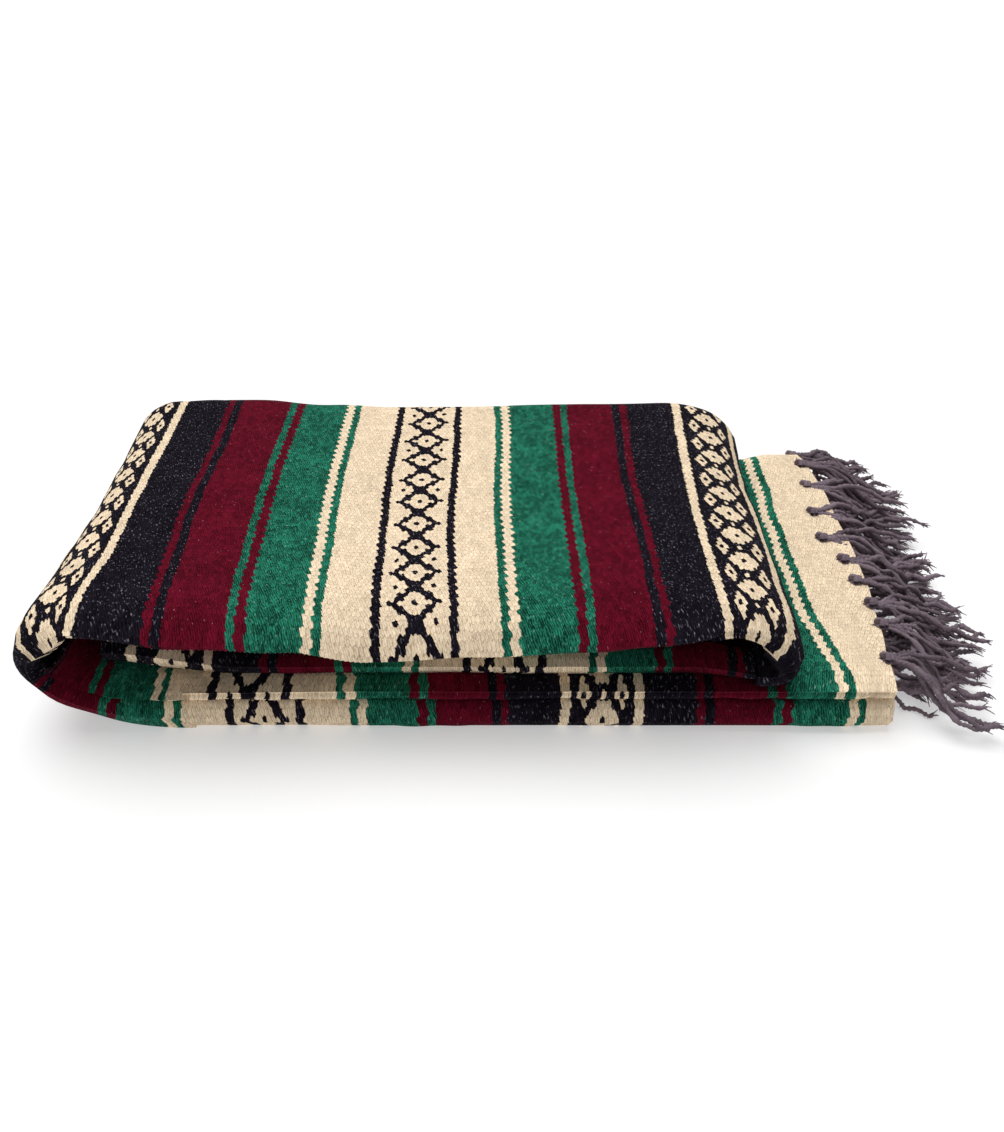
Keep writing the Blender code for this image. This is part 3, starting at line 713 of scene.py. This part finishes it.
class Number:
    """A number worked out by a material's nodes, with Python's own arithmetic."""

    def __init__(self, tree, socket):
        self.tree, self.socket = tree, socket

    def op(self, operation, *others):
        node = self.tree.nodes.new("ShaderNodeMath")
        node.operation = operation
        for i, value in enumerate((self, *others)):
            if isinstance(value, Number):
                self.tree.links.new(value.socket, node.inputs[i])
            else:
                node.inputs[i].default_value = value
        return Number(self.tree, node.outputs[0])

    def __add__(self, other):
        return self.op("ADD", other)

    def __sub__(self, other):
        return self.op("SUBTRACT", other)

    def __mul__(self, other):
        return self.op("MULTIPLY", other)

    def __truediv__(self, other):
        return self.op("DIVIDE", other)

    def __mod__(self, other):
        return self.op("FLOORED_MODULO", other)

    def __lt__(self, other):
        return self.op("LESS_THAN", other)

    def __gt__(self, other):
        return self.op("GREATER_THAN", other)

    def __or__(self, other):
        return self.op("MAXIMUM", other)

    def __and__(self, other):
        return self.op("MULTIPLY", other)

    def __abs__(self):
        return self.op("ABSOLUTE")

    def floor(self):
        return self.op("FLOOR")

    def invert(self):
        return (self * -1.0) + 1.0

    def between(self, low, high):
        return (self > low) & (self < high)

    def near(self, value, width):
        return self.between(value - width, value + width)


# Yarn colours (linear), the stripes from the middle of a diamond band outward (width in mm, yarn)
YARN = {"cream": (0.875, 0.715, 0.512), "black": (0.0085, 0.0068, 0.0115), "maroon": (0.108, 0.0040, 0.0145),
        "green": (0.0118, 0.120, 0.074)}
STRIPES = ((22.2, "cream"), (5.6, "black"), (32.7, "cream"), (5.5, "green"), (6.5, "cream"), (38, "green"),
           (6.5, "maroon"), (6, "green"), (40.5, "maroon"), (6.5, "black"), (6.5, "maroon"), (37, "black"),
           (6.5, "cream"), (23, "black"))
END_FROM, END_AT = -1.72, 0.040      # the fringed end: plain cream beyond this many half repeats


def new_material(name):
    material = bpy.data.materials.new(name)
    material.use_nodes = True
    tree = material.node_tree
    shader = tree.nodes["Principled BSDF"]
    shader.inputs["Roughness"].default_value = 0.95
    shader.inputs["Specular IOR Level"].default_value = 0.03
    shader.inputs["Sheen Weight"].default_value = 0.012
    shader.inputs["Sheen Roughness"].default_value = 0.45
    return material, tree, shader


def mix_colour(tree, share, first, second, blend="MIX"):
    node = tree.nodes.new("ShaderNodeMix")
    node.data_type, node.blend_type = "RGBA", blend
    if isinstance(share, Number):
        tree.links.new(share.socket, node.inputs["Factor"])
    else:
        node.inputs["Factor"].default_value = share
    for value, socket in ((first, node.inputs[6]), (second, node.inputs[7])):
        if isinstance(value, tuple):
            socket.default_value = (*value, 1.0)
        else:
            tree.links.new(value, socket)
    return node.outputs[2]


def scaled(tree, colour, amount):
    node = tree.nodes.new("ShaderNodeVectorMath")
    node.operation = "SCALE"
    tree.links.new(colour, node.inputs[0])
    tree.links.new(amount.socket, node.inputs["Scale"])
    return node.outputs[0]


def vector(tree, x, y, z=0.0):
    node = tree.nodes.new("ShaderNodeCombineXYZ")
    for value, socket in zip((x, y, z), node.inputs):
        if isinstance(value, Number):
            tree.links.new(value.socket, socket)
        else:
            socket.default_value = value
    return node.outputs[0]


def noise(tree, place_at, scale, detail=2.0, roughness=0.5):
    node = tree.nodes.new("ShaderNodeTexNoise")
    tree.links.new(place_at, node.inputs["Vector"])
    node.inputs["Scale"].default_value = scale
    node.inputs["Detail"].default_value = detail
    node.inputs["Roughness"].default_value = roughness
    return Number(tree, node.outputs[0])


def random_cell(tree, x, y, z):
    node = tree.nodes.new("ShaderNodeTexWhiteNoise")
    tree.links.new(vector(tree, x, y, z), node.inputs["Vector"])
    return Number(tree, node.outputs["Value"])


def add_bump(tree, shader, height, strength, distance):
    bump = tree.nodes.new("ShaderNodeBump")
    bump.inputs["Strength"].default_value = strength
    bump.inputs["Distance"].default_value = distance
    tree.links.new(height.socket, bump.inputs["Height"])
    tree.links.new(bump.outputs[0], shader.inputs["Normal"])


def map_axes(tree):
    uv = tree.nodes.new("ShaderNodeUVMap")
    uv.uv_map = "cloth"
    split = tree.nodes.new("ShaderNodeSeparateXYZ")
    tree.links.new(uv.outputs[0], split.inputs[0])
    return uv.outputs[0], Number(tree, split.outputs[0]), Number(tree, split.outputs[1])


def nearest_float(p, w):
    """The float that a place (p, w) belongs to: its rib, its place along the rib in beads, the offsets
    from its middle in beads and ribs, and how near the place is to the float's edge (0 at the edge).
    Floats are lens shaped and lean; each rib's lie half a bead off its neighbours'."""
    ribs, beads = w / RIB, p / BEAD
    first = ribs.floor()
    second = first + ((ribs - first) > 0.5) * 2.0 - 1.0
    found = []
    for rib in (first, second):
        half = (rib % 2.0) * 0.5
        dw = ribs - rib - 0.5
        leaned = beads + dw * 0.30
        at = (leaned - half).op("ROUND") + half
        dp = leaned - at
        found.append((rib, at, dp, dw, abs(dp) + abs(dw) * 0.9))
    use = found[1][4] < found[0][4]
    rib, at, dp, dw = ((b - a) * use + a for a, b in zip(found[0][:4], found[1][:4]))
    between = abs(found[1][4] - found[0][4]) * 2.2
    edge = between.op("MINIMUM", (abs(dp) * -1.0 + 0.5) * 4.0)
    return rib, at, dp, dw, edge


def cloth_material(name, motif_shift):
    material, tree, shader = new_material(name)
    where, p, w = map_axes(tree)

    # Which float, after the yarns' own unevenness; colours change a little within a float, at its sides
    uneven = noise(tree, where, 150.0, 3.0, 0.6) - 0.5
    uneven_across = noise(tree, vector(tree, w, p, 3.0), 150.0, 3.0, 0.6) - 0.5
    rib, at, dp, dw, edge = nearest_float(p + uneven * 0.0040, w + uneven_across * 0.0036)
    p_bead = (at + dp * 0.42) * BEAD

    # Stripes
    end = p_bead < END_FROM * HALF_REPEAT
    off = p_bead.op("PINGPONG", HALF_REPEAT).op("MAXIMUM", end * END_AT)
    ramp = tree.nodes.new("ShaderNodeValToRGB")
    ramp.color_ramp.interpolation = "CONSTANT"
    tree.links.new((off / HALF_REPEAT).socket, ramp.inputs[0])
    total = sum(width for width, _ in STRIPES)
    reached = 0.0
    for i, (width, yarn) in enumerate(STRIPES):
        stop = ramp.color_ramp.elements[0] if i == 0 else ramp.color_ramp.elements.new(reached / total)
        stop.position, stop.color = reached / total, (*YARN[yarn], 1.0)
        reached += width
    ramp.color_ramp.elements.remove(ramp.color_ramp.elements[-1])
    colour = ramp.outputs[0]

    # Diamonds and flowers: step counts ribs from a diamond's middle, 0 to 4; a and b count floats from
    # the middle of their band
    step = abs((rib + dw * 0.32 + motif_shift) % 8.0 - 4.0)
    a = p_bead.op("PINGPONG", HALF_REPEAT) / BEAD + end * 40.0
    dots = random_cell(tree, rib, 7.0, 1.0) > 0.25
    lines = ((abs(a + step * 1.06 - 4.30) < 1.08) | ((a < 0.55) & (step < 0.5))
             | (a.near(4.15, 0.5) & (step > 3.5) & dots))
    colour = mix_colour(tree, lines, colour, YARN["black"])
    b = abs(p_bead.op("PINGPONG", HALF_REPEAT) - HALF_REPEAT) / BEAD + end * 40.0
    flower = (b + step * 0.93 < 3.55) & (step < 2.6) & (((b < 0.5) & (step < 0.5)) < 0.5)
    bud = (abs(b - 3.95) - step * 0.48 < -0.36) & (step > 1.6) & ((b.near(4.0, 0.42) & (step > 3.6)) < 0.5)
    colour = mix_colour(tree, flower | bud | ((b < 0.6) & (step > 3.5)), colour, YARN["cream"])

    # Which yarn this is, from its colour
    parts = tree.nodes.new("ShaderNodeSeparateColor")
    tree.links.new(colour, parts.inputs[0])
    red, green = Number(tree, parts.outputs[0]), Number(tree, parts.outputs[1])
    cream = red > 0.4
    emerald = (green > 0.05) & (red < 0.05)
    black = (red < 0.05) & (green < 0.05)

    # The dye takes unevenly, from float to float and over broad patches. Each ply is painted lighter along
    # its ridge and darker between plies, as painted highlight and shade; the green yarn gets painted
    # highlight spots and the cream painted shade between its strands.
    leaning = vector(tree, p + w * 0.30, w * 0.55, 0.0)
    fine = noise(tree, leaning, 1050.0, 2.0, 0.65) - 0.5
    broad = noise(tree, where, 34.0, 3.0, 0.6) - 0.5
    shade = random_cell(tree, at, rib, 2.0) - 0.5
    ply = (abs((dp * 2.0 + dw * 0.55 + 0.25).op("FRACT") - 0.5) - 0.25) * -1.0
    liveliness = emerald * 1.5 + black * 0.6 + cream * -1.0 + 1.75
    # ply in the tone paints highlight along each ply's ridge and shade between the plies
    tone = (fine * 1.25 + shade * 0.30 + broad * 0.45 + ply * 0.9) * liveliness + 1.02
    colour = scaled(tree, colour, tone.op("MAXIMUM", 0.25))
    # one noise gives the black yarn's lint specks, the green yarn's painted highlight spots and the pink
    # specks
    lint_and_highlight = noise(tree, leaning, 760.0, 1.0, 0.5) + noise(tree, where, 60.0, 1.0) * 0.12
    colour = mix_colour(tree, ((lint_and_highlight - 0.690) * 9.0).op("MAXIMUM", 0.0).op("MINIMUM", 0.5) & black,
                        colour, (0.20, 0.20, 0.25))
    # painted highlight: lighter green spots on the green yarn, where light catches its fibres
    painted_green_highlight = ((lint_and_highlight - 0.690) * 8.0).op("MAXIMUM", 0.0).op("MINIMUM", 0.55) & emerald
    colour = mix_colour(tree, painted_green_highlight, colour, (0.13, 0.42, 0.30))
    rare = ((lint_and_highlight - 0.80) * 20.0).op("MAXIMUM", 0.0).op("MINIMUM", 0.6) & (cream - 1.0).op("ABSOLUTE")
    colour = mix_colour(tree, rare, colour, (0.50, 0.34, 0.34))
    # painted shade: brown streaks between the strands of the cream floats, leaning as they do
    painted_strand_shade = noise(tree, vector(tree, p + w * 0.30, w * 0.55, 5.0), 700.0, 2.0, 0.6)
    painted_strand_shade = ((painted_strand_shade - 0.57) * 6.0).op("MAXIMUM", 0.0).op("MINIMUM", 0.75) & cream
    colour = mix_colour(tree, painted_strand_shade * 0.95, colour, (0.45, 0.29, 0.17))

    # Shaded gaps where one float goes under another
    gap = (edge * -1.0 + 0.40).op("MAXIMUM", 0.0) * 1.7
    gap = gap * (random_cell(tree, at, rib, 5.0) * 0.9 + 0.35)
    colour = mix_colour(tree, gap.op("MINIMUM", 0.8), colour, (0.50, 0.37, 0.28), "MULTIPLY")
    tree.links.new(colour, shader.inputs["Base Color"])

    # Relief: the rounded float, its two slanting plies, and loose fibres
    height = edge.op("MINIMUM", 1.0) * 0.55 + ply * 1.3 + fine * 1.1
    add_bump(tree, shader, height, 0.55, 0.0007)
    return material


def yarn_material(name, base):
    """Loose two-ply yarn: uneven grey, lighter along the plies' ridges."""
    material, tree, shader = new_material(name)
    where, along, number = map_axes(tree)
    cloud = noise(tree, vector(tree, along * 60.0, number * 3.7, 0.0), 1.0, 3.0, 0.6) - 0.5
    fine = noise(tree, vector(tree, along * 900.0, number * 5.1, 0.0), 1.0, 2.0, 0.7) - 0.5
    each = random_cell(tree, number, 1.0, 2.0) - 0.5
    colour = scaled(tree, mix_colour(tree, 0.0, base, base), cloud * 0.9 + fine * 0.9 + each * 0.6 + 1.0)
    tree.links.new(colour, shader.inputs["Base Color"])
    position = tree.nodes.new("ShaderNodeTexCoord").outputs["Object"]
    fuzz = noise(tree, position, 1100.0, 3.0, 0.75)
    add_bump(tree, shader, fuzz, 0.9, 0.0011)
    return material


def main():
    camera_and_light()
    striped = cloth_material("striped_cloth", 0.0)
    grey = yarn_material("fringe_yarn", (0.215, 0.165, 0.195))
    inner_end = S_LEFT_NOSE + 0.15 * (S_TOP - S_LEFT_NOSE)
    flat_under = ((0.045, 1.0),)
    pieces = [
        cloth("bottom_lower_cloth", "bottom_lower_fold", lower_section, 0.0, S_LEFT, LAYOUT, lower_shape,
              coarse=flat_under),
        cloth("bottom_upper_cloth", "bottom_upper_fold", upper_section, 0.0, S_LEFT, UPPER_LAYOUT,
              upper_shape, inward=True, ribs=0),
        cloth("left_cloth", "left_fold", outer_section, S_LEFT, S_TOP, LAYOUT, top_shape),
        cloth("left_inner_cloth", "left_inner_fold", lambda s: upper_section(s, False), S_LEFT, inner_end,
              UPPER_LAYOUT, upper_shape, inward=True, ribs=0, coarse=flat_under,
              length=inner_face_length(S_LEFT, inner_end)),
        cloth("top_cloth", "top_panel", outer_section, S_TOP, S_RIGHT, LAYOUT, top_shape),
        cloth("right_cloth", "right_fold", outer_section, S_RIGHT, S_MIDDLE, LAYOUT, top_shape),
        cloth("middle_cloth", "middle_fold", outer_section, S_MIDDLE, S_END, LAYOUT, middle_shape,
              coarse=((0.045, 0.24),)),
        hidden_layers(),
    ]
    for piece in pieces:
        piece.data.materials.append(striped)
    for piece in fringes():
        piece.data.materials.append(grey)


main()
